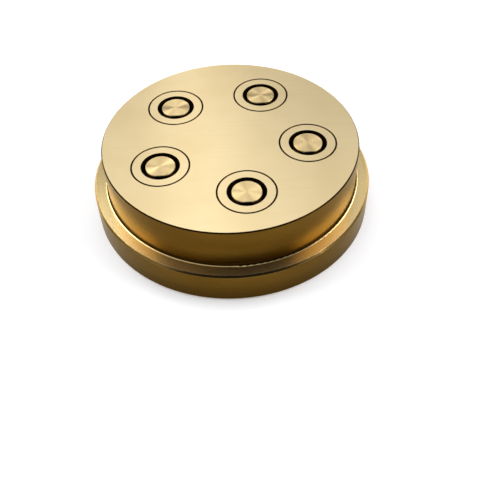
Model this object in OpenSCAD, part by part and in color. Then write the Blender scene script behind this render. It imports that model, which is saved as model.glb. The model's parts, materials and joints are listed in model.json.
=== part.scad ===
// Pasta extrusion die: a turned brass body with a clamping flange and a spigot,
// bored for a ring of stepped inserts. Each insert is a sleeve with a core pin
// on a three-legged bridge, and the gap round the pin shapes a bent tube.
// Origin at the middle of the back face, +Z along the flow to the outlet face.

/* [Die body] */
// Diameter of the clamping flange
flange_d = 78.4; // [76:0.2:90]
// Thickness of the clamping flange
flange_h = 9.4; // [7:0.1:14]
// Diameter of the spigot that carries the outlet face
spigot_d = 70.6; // [67:0.2:74]
// Height of the spigot above the flange
spigot_h = 12; // [10:0.1:18]
// Radius of the fillet at the foot of the spigot
foot_fillet = 0.7; // [0.4:0.1:2]
// Chamfer on the rim of the outlet face
face_chamfer = 0.3; // [0.1:0.05:0.8]
// Chamfer on the outer edges of the flange
flange_chamfer = 0.5; // [0.2:0.05:1]

/* [Insert pattern] */
// Number of inserts on the pitch circle
insert_count = 5; // [3:1:6]
// Diameter of the pitch circle
pitch_d = 42.6; // [40:0.2:46]
// Angle of the first insert, from +X
start_angle = 135.7; // [0:0.1:360]
// Radial clearance between a sleeve and its bore
sleeve_clearance = 0.05; // [0.02:0.01:0.15]
// Depth of the inserts below the back face
insert_recess = 0.4; // [0.1:0.1:1]

/* [Insert sleeve] */
// Diameter of the nose that shows in the outlet face
nose_d = 15.4; // [14:0.1:17]
// Length of the nose, from the outlet face to the shoulder
nose_h = 6; // [4:0.1:8]
// Diameter of the collar behind the shoulder
collar_d = 19; // [18:0.1:20]
// Diameter of the inlet chamber
inlet_d = 15; // [14:0.1:16]
// Depth of the inlet chamber, from the sleeve's back to the ledge
inlet_h = 10; // [9:0.1:11]
// Diameter of the throat past the ledge
throat_d = 12.8; // [11.5:0.1:13.4]
// Length of the throat before the channel narrows
throat_h = 1.6; // [0.5:0.1:2.5]
// Diameter of the outlet
outlet_d = 10.5; // [9.5:0.1:11.2]
// Length of the straight land at the outlet
outlet_land = 4.5; // [3:0.1:6]

/* [Core pin] */
// Diameter of the pin's head at the outlet
pin_d = 7.9; // [7:0.1:8.6]
// Length of the straight land on the head
pin_land = 4.8; // [3:0.1:6]
// Length of the cone between the stem and the head
pin_cone_h = 2.2; // [1:0.1:3]
// Diameter of the stem
stem_d = 6.6; // [5:0.1:7]
// Rise of the stem's tip upstream of the legs
tip_rise = 1; // [0.4:0.1:2]
// Height of the cone on the tip
tip_h = 3; // [1.5:0.1:4]
// Diameter of the tip's flat end
tip_d = 2; // [1:0.1:3]
// Depth of the flat that makes the tube bend
flat_depth = 0.25; // [0.1:0.05:0.6]
// Length of the flat, from the outlet face
flat_h = 3.6; // [2:0.1:4.5]
// Direction that the flats face, from +X
flat_angle = -90; // [-180:1:180]
// Number of legs on the bridge
leg_count = 3; // [2:1:4]
// Width of a leg
leg_w = 2.6; // [1.6:0.1:3.5]
// Height of a leg along the flow
leg_h = 4.4; // [3:0.1:5.5]
// Height of the wedge on a leg's upstream side
leg_wedge_h = 1.8; // [0.5:0.1:2.5]
// Radial clearance between the legs and the inlet chamber
leg_clearance = 0.05; // [0.02:0.01:0.15]

/* [Edges] */
// Chamfer on both sides of the seam round a sleeve's nose
seam_chamfer = 0.23; // [0.05:0.01:0.4]
// Chamfer on the rim of a pin's end
pin_chamfer = 0.12; // [0.05:0.01:0.2]
// Chamfer on the edges at the back face
back_chamfer = 0.4; // [0.2:0.05:0.6]

/* [Hidden] */
$fn = 96;

flange_r = flange_d / 2;
spigot_r = spigot_d / 2;
face_z = flange_h + spigot_h;
fillet_r = min(foot_fillet, flange_r - spigot_r - flange_chamfer, spigot_h - face_chamfer);

shoulder_z = face_z - nose_h;
ledge_z = insert_recess + inlet_h;
taper_z = ledge_z + throat_h;
outlet_land_z = face_z - outlet_land;

pin_land_z = face_z - pin_land;
pin_cone_z = pin_land_z - pin_cone_h;
bridge_z = ledge_z - leg_h;
tip_z = bridge_z - tip_rise;

brass_side = [0.62, 0.46, 0.22];
brass_face = [0.86, 0.74, 0.52];
brass_pin = [0.84, 0.70, 0.46];

// How far a cut runs past the face that it opens
cut_past = 1;

// Puts its children on the pitch circle, clockwise as seen from the outlet face
module at_insert(i) {
    angle = start_angle - (i - 1) * 360 / insert_count;
    translate([pitch_d / 2 * cos(angle), pitch_d / 2 * sin(angle), 0])
        children();
}

// Half of a chamfered disc, from z0 to z1, for turning about the axis
module disc_profile(r, z0, z1, low_chamfer, high_chamfer) {
    polygon([
        [0, z0],
        [r - low_chamfer, z0],
        [r, z0 + low_chamfer],
        [r, z1 - high_chamfer],
        [r - high_chamfer, z1],
        [0, z1]
    ]);
}

// Concave fillet in the corner between the spigot and the flange
module foot_fillet_profile() {
    translate([spigot_r, flange_h])
        difference() {
            square(fillet_r);
            translate([fillet_r, fillet_r])
                circle(fillet_r);
        }
}

// Bore for a sleeve: counterbore from the back, shoulder, and the nose's hole
module sleeve_bore_profile() {
    nose_r = nose_d / 2 + sleeve_clearance;
    collar_r = collar_d / 2 + sleeve_clearance;
    polygon([
        [0, -cut_past],
        [collar_r + back_chamfer + cut_past, -cut_past],
        [collar_r, back_chamfer],
        [collar_r, shoulder_z],
        [nose_r, shoulder_z],
        [nose_r, face_z - seam_chamfer],
        [nose_r + seam_chamfer + cut_past, face_z + cut_past],
        [0, face_z + cut_past]
    ]);
}

// Outside of a sleeve: collar, shoulder and nose
module sleeve_outer_profile() {
    nose_r = nose_d / 2;
    collar_r = collar_d / 2;
    polygon([
        [0, insert_recess],
        [collar_r - back_chamfer, insert_recess],
        [collar_r, insert_recess + back_chamfer],
        [collar_r, shoulder_z],
        [nose_r, shoulder_z],
        [nose_r, face_z - seam_chamfer],
        [nose_r - seam_chamfer, face_z],
        [0, face_z]
    ]);
}

// Flow channel: inlet chamber, ledge, throat, taper and outlet land
module channel_profile() {
    polygon([
        [0, insert_recess - cut_past],
        [inlet_d / 2 + back_chamfer + cut_past, insert_recess - cut_past],
        [inlet_d / 2, insert_recess + back_chamfer],
        [inlet_d / 2, ledge_z],
        [throat_d / 2, ledge_z],
        [throat_d / 2, taper_z],
        [outlet_d / 2, outlet_land_z],
        [outlet_d / 2, face_z + cut_past],
        [0, face_z + cut_past]
    ]);
}

// Turned stem of a core pin, with a conical upstream tip and a wider head
module pin_profile() {
    polygon([
        [0, tip_z],
        [tip_d / 2, tip_z],
        [stem_d / 2, tip_z + tip_h],
        [stem_d / 2, pin_cone_z],
        [pin_d / 2, pin_land_z],
        [pin_d / 2, face_z - pin_chamfer],
        [pin_d / 2 - pin_chamfer, face_z],
        [0, face_z]
    ]);
}

// Legs of the bridge, each with a wedge that parts the flow, trimmed to the chamber
module bridge_legs() {
    leg_reach = inlet_d / 2 - leg_clearance;
    intersection() {
        translate([0, 0, bridge_z - cut_past])
            cylinder(r = leg_reach, h = leg_h + 2 * cut_past);
        for (k = [0 : leg_count - 1])
            rotate([90, 0, flat_angle + 90 + (k + 0.5) * 360 / leg_count])
                linear_extrude(inlet_d / 2)
                    leg_section();
    }
}

// Section across a leg, with the flow along +Y of the section
module leg_section() {
    polygon([
        [0, bridge_z],
        [leg_w / 2, bridge_z + leg_wedge_h],
        [leg_w / 2, ledge_z],
        [-leg_w / 2, ledge_z],
        [-leg_w / 2, bridge_z + leg_wedge_h]
    ]);
}

module die_body() {
    color(brass_side)
        difference() {
            rotate_extrude() {
                disc_profile(flange_r, 0, flange_h, flange_chamfer, flange_chamfer);
                disc_profile(spigot_r, 0, face_z, 0, face_chamfer);
                foot_fillet_profile();
            }
            for (i = [1 : insert_count])
                at_insert(i)
                    rotate_extrude()
                        sleeve_bore_profile();
        }
}

module insert_sleeve(i) {
    color(brass_face)
        at_insert(i)
            rotate_extrude()
                difference() {
                    sleeve_outer_profile();
                    channel_profile();
                }
}

module core_pin(i) {
    color(brass_pin)
        at_insert(i)
            difference() {
                union() {
                    rotate_extrude()
                        pin_profile();
                    bridge_legs();
                }
                rotate([0, 0, flat_angle])
                    translate([pin_d / 2 - flat_depth, -pin_d / 2, face_z - flat_h])
                        cube([pin_d, pin_d, flat_h + cut_past]);
            }
}

die_body();
for (i = [1 : insert_count]) {
    insert_sleeve(i);
    core_pin(i);
}
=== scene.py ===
"""Pasta extrusion die: finishes, floor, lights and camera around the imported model."""
import json
import math

import bpy
from mathutils import Matrix, Vector


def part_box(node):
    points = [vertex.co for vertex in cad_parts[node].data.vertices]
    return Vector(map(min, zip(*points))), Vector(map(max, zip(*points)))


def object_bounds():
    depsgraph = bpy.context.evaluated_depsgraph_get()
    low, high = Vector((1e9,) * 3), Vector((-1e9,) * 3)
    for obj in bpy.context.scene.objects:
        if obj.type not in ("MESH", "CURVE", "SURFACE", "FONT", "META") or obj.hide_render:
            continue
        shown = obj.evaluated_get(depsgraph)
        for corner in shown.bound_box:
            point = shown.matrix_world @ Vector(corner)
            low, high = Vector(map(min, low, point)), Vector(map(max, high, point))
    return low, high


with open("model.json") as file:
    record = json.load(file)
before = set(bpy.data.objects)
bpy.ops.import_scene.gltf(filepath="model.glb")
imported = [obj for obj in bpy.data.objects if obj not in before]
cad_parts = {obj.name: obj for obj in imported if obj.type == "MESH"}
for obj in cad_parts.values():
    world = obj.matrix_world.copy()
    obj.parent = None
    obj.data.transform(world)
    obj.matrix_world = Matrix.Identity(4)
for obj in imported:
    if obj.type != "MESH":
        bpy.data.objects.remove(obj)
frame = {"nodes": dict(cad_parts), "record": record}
cad_low, cad_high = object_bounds()

# Places read from the frame, in metres
MM = 0.001
MOUNTS = {mount["name"]: mount for mount in frame["record"]["mounts"]}
SPIGOT = MOUNTS["spigot"]
SPIGOT_R = SPIGOT["dims"]["r_mm"] * MM
SPIGOT_TOP = SPIGOT["pos_m"][2] + SPIGOT["dims"]["length_mm"] * MM / 2
SEAT_Z = MOUNTS["flange_seat"]["pos_m"][2]
FACE_Z = cad_high.z

# Directions, and the factors that drop a place's height
UP = (0.0, 0.0, 1.0)
ACROSS_BRUSH = (0.0, 1.0, 0.0)
FLAT = (1.0, 1.0, 0.0)

# Linear colours of the brass in its different finishes, and of the painted shade put on some of them
CHAMPAGNE = (0.90, 0.73, 0.43, 1.0)
CHAMPAGNE_WORN = (0.85, 0.68, 0.38, 1.0)
TURNED_BRASS = (0.76, 0.58, 0.28, 1.0)
CHAMFER_BRASS = (0.54, 0.33, 0.10, 1.0)
# The sides' dark tone is painted shade, for the dark surroundings that the turned sides mirror
SHADED_BRONZE = (0.096, 0.047, 0.0045, 1.0)
SHADED_BRONZE_PALE = (0.120, 0.061, 0.0075, 1.0)
# Painted shade towards the bottom of the flange, for the shadowed floor that it mirrors
FOOT_SHADE_BRONZE = (0.066, 0.031, 0.0027, 1.0)
# Painted shade in the corner at the wall's foot and along the top rim
CORNER_SHADE = (0.022, 0.009, 0.0010, 1.0)
EDGE_TINT = (0.93, 0.84, 0.66, 1.0)
PIN_BRASS = (0.82, 0.63, 0.325, 1.0)
PIN_BRASS_WORN = (0.77, 0.58, 0.285, 1.0)
# Painted shade for the unlit inside of the channels
CHANNEL_SHADE = (0.026, 0.011, 0.0015, 1.0)
CHANNEL_BRASS = (0.42, 0.28, 0.11, 1.0)

# Gloss: roughness, as a range where the marks vary it, and anisotropy
FACE_ROUGHNESS = (0.33, 0.39)
SIDE_ROUGHNESS = (0.26, 0.34)
SEAT_ROUGHNESS = (0.22, 0.27)
CHAMFER_ROUGHNESS = 0.12
PIN_ROUGHNESS = (0.28, 0.31)
CHANNEL_ROUGHNESS = 0.5
BODY_ANISOTROPY = 0.55
PIN_ANISOTROPY = 0.97

# Where one finish or painted shade gives way to the next
FACE_UPRIGHT = (0.80, 0.95)
EDGE_BLEND = 0.03 * MM
EDGE_BRASS_DEPTH = 0.5 * MM
WALL_DEPTH = (1.5 * MM, 1.0 * MM)
SEAT_BLEND = 0.14 * MM
# Top of the painted shade in the corner at the wall's foot, and width of the painted shade along the rim
CORNER_TOP = 0.9 * MM
RIM_BLEND = 0.05 * MM
# Height over which the painted shade at the flange's foot fades out
FOOT_SHADE_HEIGHT = 8.0 * MM
# Depths over which the painted shade inside the channels fades to plain brass
CHANNEL_SHADE_DEPTH = 9.0 * MM
CHANNEL_SHADE_END_DEPTH = 14.0 * MM

# Noise: scales per metre, the pitch of the turning marks and how much they change round the axis
FINE_BRUSH = (90.0, 3600.0, 90.0)
COARSE_BRUSH = (45.0, 900.0, 45.0)
CLOUDS = 70.0
PATINA = (40.0, 40.0, 160.0)
BODY_RING_PITCH = 0.16 * MM
SLEEVE_RING_PITCH = 0.12 * MM
PIN_RING_PITCH = 0.05 * MM
RING_SWIRL = (1.6, 1.6, 1.6)

# Spans of the noise over which a tone or the roughness changes, and the relief of the marks
TONE_SPAN = (0.30, 0.70)
COARSE_SPAN = (0.45, 0.75)
COARSE_SHARE = 0.5
PATINA_SPAN = (0.35, 0.70)
ROUGHNESS_SPAN = (0.25, 0.75)
NO_MARKS = 0.5
BODY_BUMP = 0.12
PIN_BUMP = 0.03
BUMP_DISTANCE = 0.01 * MM

# Camera, found by fitting the die's circles to the photograph's 500 by 500 frame; angles in degrees
IMAGE_SIDE = 500
FOCAL_PIXELS = 700.0
SENSOR_WIDTH = 36.0
CAMERA_CLIP = 10.0 * MM
CAMERA_DISTANCE = 194.86 * MM
CAMERA_ELEVATION = 39.96
CAMERA_YAW = -1.19
CAMERA_PITCH = -9.11
CAMERA_ROLL = -2.58

# Floor, whose glow rises from the die outwards
FLOOR_SIZE = 20.0
FLOOR_DROP = 0.02 * MM
FLOOR_COLOUR = (0.90, 0.90, 0.91, 1.0)
FLOOR_GLOW = 0.20
FAR_GLOW = 0.98
FAR_RADIUS = (0.15, 1.5)

# Sky, with the edges of its dark part and its pale band as parts of a direction of length 1
WHITE = (1.0, 1.0, 1.0, 1.0)
SKY_LEVEL = 0.272
SKY_DARK = 0.012
DARK_FRONT = (-0.60, -0.40)
DARK_LOW_EDGE = (0.46, 0.58)
DARK_HIGH_EDGE = (0.84, 0.94)
PALE_LOW_EDGE = (-0.04, -0.01)
PALE_HIGH_EDGE = (0.06, 0.22)

# Lamps: place, width and height in metres, and brightness
LAMPS = {
    "overhead": ((-0.15, 0.12, 0.68), (1.20, 0.64), 0.86),
    "strip": ((-0.03, 0.37, 0.61), (0.06, 1.20), 0.95),
    "left": ((-0.43, 0.18, 0.43), (0.64, 0.28), 4.5),
    "right": ((0.45, 0.03, 0.44), (0.60, 0.28), 5.2),
    "back_right": ((0.30, 0.42, 0.40), (0.20, 0.20), 1.7),
}


class Shader:
    """A material's node tree, with short calls that return the new node's output socket."""

    def __init__(self, name):
        self.material = bpy.data.materials.new(name)
        self.material.use_nodes = True
        self.tree = self.material.node_tree
        self.tree.nodes.clear()

    def add(self, kind, inputs=None, out=0, **settings):
        node = self.tree.nodes.new("ShaderNode" + kind)
        for key, value in settings.items():
            setattr(node, key, value)
        for key, value in (inputs or {}).items():
            self.feed(node.inputs[key], value)
        return node.outputs[out]

    def feed(self, socket, value):
        if isinstance(value, bpy.types.NodeSocket):
            self.tree.links.new(value, socket)
        else:
            socket.default_value = value

    def math(self, operation, *values):
        return self.add("Math", dict(enumerate(values)), operation=operation)

    def vector(self, operation, *values):
        out = 1 if operation == "LENGTH" else 0
        return self.add("VectorMath", dict(enumerate(values)), out, operation=operation)

    def scaled(self, vector, factors):
        return self.vector("MULTIPLY", vector, factors)

    def ramp(self, value, low, high, to_low=0.0, to_high=1.0):
        """value taken from the span low to high onto to_low to to_high, smooth at both ends."""
        inputs = {"Value": value, "From Min": low, "From Max": high, "To Min": to_low, "To Max": to_high}
        return self.add("MapRange", inputs, interpolation_type="SMOOTHSTEP")

    def fall(self, value, low, high):
        """1 where value is below low and 0 where it is above high."""
        return self.ramp(value, low, high, 1.0, 0.0)

    def blend(self, factor, first, second, kind="RGBA"):
        """first where factor is 0 and second where it is 1."""
        node = self.tree.nodes.new("ShaderNodeMix")
        node.data_type = kind
        slot = {"FLOAT": (0, 2, 3, 0), "VECTOR": (0, 4, 5, 1), "RGBA": (0, 6, 7, 2)}[kind]
        self.feed(node.inputs[slot[0]], factor)
        self.feed(node.inputs[slot[1]], first)
        self.feed(node.inputs[slot[2]], second)
        return node.outputs[slot[3]]

    def noise(self, vector, scale=1.0, detail=3.0):
        return self.add("TexNoise", {"Vector": vector, "Scale": scale, "Detail": detail})

    def bump(self, height, strength):
        return self.add("Bump", {"Height": height, "Strength": strength, "Distance": BUMP_DISTANCE})

    def finish(self, **inputs):
        """The material, with these inputs of the Principled shader, whose names have _ for a space."""
        node = self.tree.nodes.new("ShaderNodeBsdfPrincipled")
        for key, value in inputs.items():
            self.feed(node.inputs[key.replace("_", " ")], value)
        self.output(node.outputs[0])
        return self.material

    def output(self, surface):
        node = self.tree.nodes.new("ShaderNodeOutputMaterial")
        self.tree.links.new(surface, node.inputs["Surface"])


def turned(shader, centre):
    """A surface turned about the upright axis through centre.

    Returns its place from that axis, the way round, the way across the turning marks, the height, and
    how nearly its normal is upright.
    """
    geometry = shader.tree.nodes.new("ShaderNodeNewGeometry")
    place = shader.vector("SUBTRACT", geometry.outputs["Position"], (centre.x, centre.y, 0.0))
    normal = geometry.outputs["Normal"]
    round_way = shader.vector("NORMALIZE", shader.vector("CROSS_PRODUCT", UP, place))
    across = shader.vector("NORMALIZE", shader.vector("CROSS_PRODUCT", normal, round_way))
    height = shader.add("SeparateXYZ", {0: place}, 2)
    upright = shader.math("ABSOLUTE", shader.add("SeparateXYZ", {0: normal}, 2))
    return place, round_way, across, height, upright


def face_mask(shader, height, upright):
    """1 on the outlet face and 0 below its edges."""
    near_face = shader.ramp(height, FACE_Z - 2 * EDGE_BLEND, FACE_Z - EDGE_BLEND)
    return shader.math("MULTIPLY", near_face, shader.ramp(upright, *FACE_UPRIGHT))


def ground_face(shader, place):
    """Brush lines, tone and roughness of the ground outlet face."""
    fine = shader.noise(shader.scaled(place, FINE_BRUSH), detail=4.0)
    coarse = shader.noise(shader.scaled(place, COARSE_BRUSH), detail=3.0)
    clouds = shader.noise(place, scale=CLOUDS, detail=2.0)
    tone = shader.blend(shader.ramp(clouds, *TONE_SPAN), CHAMPAGNE, CHAMPAGNE_WORN)
    worn_lines = shader.ramp(coarse, *COARSE_SPAN, 0.0, COARSE_SHARE)
    tone = shader.blend(worn_lines, tone, CHAMPAGNE_WORN)
    roughness = shader.ramp(fine, *ROUGHNESS_SPAN, *FACE_ROUGHNESS)
    return fine, tone, roughness


def rings(shader, place, round_way, pitch):
    """Turning marks: noise that runs round the axis and changes quickly along the profile."""
    height = shader.add("SeparateXYZ", {0: place}, 2)
    radius = shader.vector("LENGTH", shader.scaled(place, FLAT))
    outward_step = shader.math("DIVIDE", radius, pitch)
    upward_step = shader.math("DIVIDE", height, pitch)
    steps = shader.add("CombineXYZ", {0: outward_step, 1: upward_step})
    swirl = shader.scaled(round_way, RING_SWIRL)
    return shader.noise(shader.vector("ADD", steps, swirl), detail=4.0)


def channel_colour(shader, height):
    """Painted shade inside the outlet, fading to plain brass towards the back."""
    depth = shader.math("SUBTRACT", FACE_Z, height)
    bright = shader.ramp(depth, CHANNEL_SHADE_DEPTH, CHANNEL_SHADE_END_DEPTH)
    return shader.blend(bright, CHANNEL_SHADE, CHANNEL_BRASS)


def body_material():
    """Ground champagne face, turned seat and back, and turned sides darkened with painted shade, with more
    painted shade at the foot, in the corner, along the rim and in the bores.
    """
    shader = Shader("body_turned_brass")
    place, round_way, across, height, upright = turned(shader, Vector((0, 0, 0)))
    on_face = face_mask(shader, height, upright)

    # Zones by radius and height; past_flange is the outside from the flange's upper chamfer upwards
    radius = shader.vector("LENGTH", shader.scaled(place, FLAT))
    outside = shader.ramp(radius, SPIGOT_R - WALL_DEPTH[0], SPIGOT_R - WALL_DEPTH[1])
    above_seat = shader.math("SUBTRACT", height, SEAT_Z)
    past_flange = shader.ramp(above_seat, -EDGE_BRASS_DEPTH - EDGE_BLEND, -EDGE_BRASS_DEPTH)
    past_flange = shader.math("MULTIPLY", past_flange, outside)
    up_to_seat = shader.fall(above_seat, 0.0, SEAT_BLEND)
    up_to_chamfer = shader.fall(above_seat, -2 * EDGE_BLEND, -EDGE_BLEND)
    up_to_corner = shader.fall(above_seat, SEAT_BLEND, CORNER_TOP)
    on_seat = shader.math("MULTIPLY", past_flange, up_to_seat)
    on_chamfer = shader.math("MULTIPLY", past_flange, up_to_chamfer)
    in_corner = shader.math("MULTIPLY", past_flange, up_to_corner)
    on_rim = shader.ramp(height, SPIGOT_TOP - RIM_BLEND, SPIGOT_TOP)
    at_back = shader.fall(height, 0.0, EDGE_BRASS_DEPTH)

    brush, face_tone, face_rough = ground_face(shader, place)
    marks = rings(shader, place, round_way, BODY_RING_PITCH)
    patina = shader.noise(shader.scaled(place, PATINA), detail=5.0)

    # Painted shade: the sides take a dark tone for the dark surroundings they mirror, varied at random by
    # the patina noise
    side_tone = shader.blend(shader.ramp(patina, *PATINA_SPAN), SHADED_BRONZE, SHADED_BRONZE_PALE)
    # Painted shade: darker towards the bottom of the flange, where it mirrors the shadowed floor
    side_tone = shader.blend(shader.fall(height, 0.0, FOOT_SHADE_HEIGHT), side_tone, FOOT_SHADE_BRONZE)
    # Painted shade in the corner at the foot of the wall and along the rim under the face
    side_tone = shader.blend(shader.math("MAXIMUM", in_corner, on_rim), side_tone, CORNER_SHADE)
    # Painted shade inside the bores, where the channels run through the body
    colour = shader.blend(outside, channel_colour(shader, height), side_tone)
    colour = shader.blend(shader.math("MAXIMUM", on_seat, at_back), colour, TURNED_BRASS)
    colour = shader.blend(on_chamfer, colour, CHAMFER_BRASS)
    colour = shader.blend(on_face, colour, face_tone)

    pattern = shader.blend(shader.math("MAXIMUM", on_seat, in_corner), marks, NO_MARKS, "FLOAT")
    pattern = shader.blend(on_face, pattern, brush, "FLOAT")
    side_rough = shader.ramp(marks, *ROUGHNESS_SPAN, *SIDE_ROUGHNESS)
    seat_rough = shader.ramp(marks, *ROUGHNESS_SPAN, *SEAT_ROUGHNESS)
    side_rough = shader.blend(on_seat, side_rough, seat_rough, "FLOAT")
    side_rough = shader.blend(on_chamfer, side_rough, CHAMFER_ROUGHNESS, "FLOAT")
    return shader.finish(
        Base_Color=colour,
        Metallic=1.0,
        Roughness=shader.blend(on_face, side_rough, face_rough, "FLOAT"),
        Anisotropic=BODY_ANISOTROPY,
        Specular_Tint=EDGE_TINT,
        Tangent=shader.blend(on_face, across, ACROSS_BRUSH, "VECTOR"),
        Normal=shader.bump(pattern, BODY_BUMP),
    )


def sleeve_material(index, centre):
    """Ground flush with the outlet face on top, painted shade in the channel."""
    shader = Shader(f"sleeve_brass_{index}")
    place, round_way, across, height, upright = turned(shader, centre)
    on_face = face_mask(shader, height, upright)

    # The brush lines are the body's, so they run on over the sleeve
    place_on_body = shader.vector("ADD", place, (centre.x, centre.y, 0.0))
    brush, face_tone, face_rough = ground_face(shader, place_on_body)
    marks = rings(shader, place, round_way, SLEEVE_RING_PITCH)
    pattern = shader.blend(on_face, marks, brush, "FLOAT")
    return shader.finish(
        Base_Color=shader.blend(on_face, channel_colour(shader, height), face_tone),
        Metallic=1.0,
        Roughness=shader.blend(on_face, CHANNEL_ROUGHNESS, face_rough, "FLOAT"),
        Anisotropic=BODY_ANISOTROPY,
        Specular_Tint=EDGE_TINT,
        Tangent=shader.blend(on_face, across, ACROSS_BRUSH, "VECTOR"),
        Normal=shader.bump(pattern, BODY_BUMP),
    )


def pin_material(index, centre):
    """Spun end with fine rings round the pin's own axis, painted shade in the channel."""
    shader = Shader(f"pin_brass_{index}")
    place, round_way, across, height, upright = turned(shader, centre)
    on_face = face_mask(shader, height, upright)
    marks = rings(shader, place, round_way, PIN_RING_PITCH)
    face_tone = shader.blend(shader.ramp(marks, *TONE_SPAN), PIN_BRASS, PIN_BRASS_WORN)
    face_rough = shader.ramp(marks, *ROUGHNESS_SPAN, *PIN_ROUGHNESS)
    depth = shader.math("SUBTRACT", FACE_Z, height)
    below_edge = shader.ramp(depth, 0.0, EDGE_BRASS_DEPTH)
    # Painted shade down the pin's side in the channel, below a band of plain turned brass at the edge
    side_tone = shader.blend(below_edge, TURNED_BRASS, channel_colour(shader, height))
    return shader.finish(
        Base_Color=shader.blend(on_face, side_tone, face_tone),
        Metallic=1.0,
        Roughness=shader.blend(on_face, CHANNEL_ROUGHNESS, face_rough, "FLOAT"),
        Anisotropic=PIN_ANISOTROPY,
        Tangent=across,
        Normal=shader.bump(marks, PIN_BUMP),
    )


def give(node, material):
    """Puts one material on every slot of a CAD node."""
    for slot in frame["nodes"][node].material_slots:
        slot.material = material


def dress_die():
    give("die_body", body_material())
    for sleeve in sorted(name for name in frame["nodes"] if name.startswith("insert_sleeve_")):
        index = int(sleeve.rsplit("_", 1)[1])
        low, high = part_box(sleeve)
        centre = (low + high) / 2
        give(sleeve, sleeve_material(index, centre))
        give(f"core_pin_{index}", pin_material(index, centre))


def floor_material():
    """Pale and matte, with a glow that the camera and polished metal see.

    The glow is left out under the die. The floor is clear from below, and to what the back face
    mirrors, so that the back can be looked at.
    """
    shader = Shader("floor_pale")
    path = shader.tree.nodes.new("ShaderNodeLightPath")
    mirrored = path.outputs["Is Glossy Ray"]
    seen = shader.math("MAXIMUM", path.outputs["Is Camera Ray"], mirrored)
    seen = shader.math("MAXIMUM", seen, path.outputs["Is Transmission Ray"])

    geometry = shader.tree.nodes.new("ShaderNodeNewGeometry")
    radius = shader.vector("LENGTH", shader.scaled(geometry.outputs["Position"], FLAT))
    outside = shader.ramp(radius, SPIGOT_R, cad_high.x)
    level = shader.ramp(radius, *FAR_RADIUS, FLOOR_GLOW, FAR_GLOW)
    strength = shader.math("MULTIPLY", shader.math("MULTIPLY", seen, outside), level)
    matte = shader.add("BsdfDiffuse", {"Color": FLOOR_COLOUR})
    glow = shader.add("Emission", {"Strength": strength})
    top = shader.add("AddShader", {0: matte, 1: glow})

    under_die = shader.math("MULTIPLY", mirrored, shader.math("SUBTRACT", 1.0, outside))
    open_side = shader.math("MAXIMUM", geometry.outputs["Backfacing"], under_die)
    clear = shader.add("BsdfTransparent")
    shader.output(shader.add("MixShader", {0: open_side, 1: top, 2: clear}))
    return shader.material


def make_floor():
    half = FLOOR_SIZE / 2
    corners = [(-half, -half, 0), (half, -half, 0), (half, half, 0), (-half, half, 0)]
    mesh = bpy.data.meshes.new("floor")
    mesh.from_pydata(corners, [], [(0, 1, 2, 3)])
    mesh.materials.append(floor_material())
    floor = bpy.data.objects.new("floor", mesh)
    floor.location.z = cad_low.z - FLOOR_DROP
    bpy.context.scene.collection.objects.link(floor)


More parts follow.
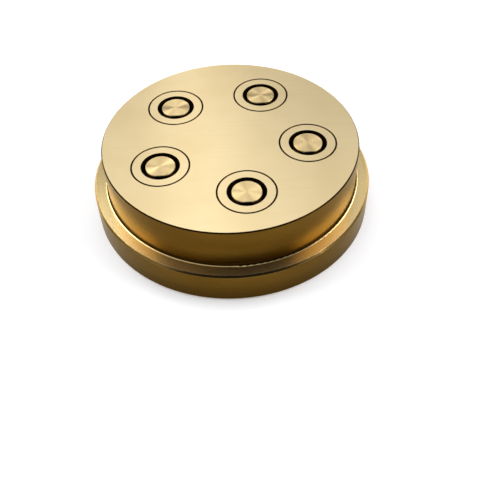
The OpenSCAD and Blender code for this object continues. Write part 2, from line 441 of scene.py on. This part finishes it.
def make_sky():
    """Even room light, pale at the horizon, with a dark part well above it on the -Y side."""
    world = bpy.data.worlds.new("studio")
    world.use_nodes = True
    tree = world.node_tree
    tree.nodes.clear()
    direction = tree.nodes.new("ShaderNodeTexCoord")
    axes = tree.nodes.new("ShaderNodeSeparateXYZ")
    tree.links.new(direction.outputs["Generated"], axes.inputs[0])

    def span(axis, low, high, to_low, to_high):
        node = tree.nodes.new("ShaderNodeMapRange")
        node.interpolation_type = "SMOOTHSTEP"
        limits = {"From Min": low, "From Max": high, "To Min": to_low, "To Max": to_high}
        for key, value in limits.items():
            node.inputs[key].default_value = value
        tree.links.new(axes.outputs[axis], node.inputs["Value"])
        return node.outputs[0]

    def join(operation, first, second):
        node = tree.nodes.new("ShaderNodeMath")
        node.operation = operation
        tree.links.new(first, node.inputs[0])
        tree.links.new(second, node.inputs[1])
        return node.outputs[0]

    def band(low_edge, high_edge):
        return join("MULTIPLY", span("Z", *low_edge, 0.0, 1.0), span("Z", *high_edge, 1.0, 0.0))

    in_front = span("Y", *DARK_FRONT, 1.0, 0.0)
    dark = join("MULTIPLY", in_front, band(DARK_LOW_EDGE, DARK_HIGH_EDGE))
    level = tree.nodes.new("ShaderNodeMapRange")
    level.inputs["To Min"].default_value = SKY_LEVEL
    level.inputs["To Max"].default_value = SKY_DARK
    tree.links.new(dark, level.inputs["Value"])
    strength = join("MAXIMUM", level.outputs[0], band(PALE_LOW_EDGE, PALE_HIGH_EDGE))
    background = tree.nodes.new("ShaderNodeBackground")
    background.inputs["Color"].default_value = WHITE
    tree.links.new(strength, background.inputs["Strength"])
    output = tree.nodes.new("ShaderNodeOutputWorld")
    tree.links.new(background.outputs[0], output.inputs["Surface"])
    bpy.context.scene.world = world


def softbox(name, place, size, brightness):
    """Rectangular light that faces the middle of the outlet face, with its power in step with its area."""
    data = bpy.data.lights.new(name, "AREA")
    data.shape = "RECTANGLE"
    data.size, data.size_y = size
    data.energy = brightness * math.pi * size[0] * size[1]
    light = bpy.data.objects.new(name, data)
    light.location = place
    light.rotation_mode = "QUATERNION"
    light.rotation_quaternion = (Vector((0, 0, FACE_Z)) - Vector(place)).to_track_quat("-Z", "Y")
    bpy.context.scene.collection.objects.link(light)


def make_lights():
    for name, (place, size, brightness) in LAMPS.items():
        softbox(name, place, size, brightness)


def make_camera():
    data = bpy.data.cameras.new("camera")
    data.sensor_width = SENSOR_WIDTH
    data.lens = FOCAL_PIXELS / IMAGE_SIDE * SENSOR_WIDTH
    data.clip_start = CAMERA_CLIP
    camera = bpy.data.objects.new("camera", data)
    elevation = math.radians(CAMERA_ELEVATION)
    back = Vector((0, -math.cos(elevation), math.sin(elevation)))
    up = back.cross(Vector((1, 0, 0)))
    aimed = Matrix(((1, 0, 0), up, back)).transposed().to_4x4()
    place = Vector((0, 0, FACE_Z)) + back * CAMERA_DISTANCE
    turn = Matrix.Rotation(math.radians(CAMERA_YAW), 4, "Y")
    tilt = Matrix.Rotation(math.radians(CAMERA_PITCH), 4, "X")
    roll = Matrix.Rotation(math.radians(CAMERA_ROLL), 4, "Z")
    camera.matrix_world = Matrix.Translation(place) @ aimed @ turn @ tilt @ roll
    bpy.context.scene.collection.objects.link(camera)
    bpy.context.scene.camera = camera


dress_die()
make_floor()
make_sky()
make_lights()
make_camera()
bpy.context.scene.view_settings.view_transform = "Standard"
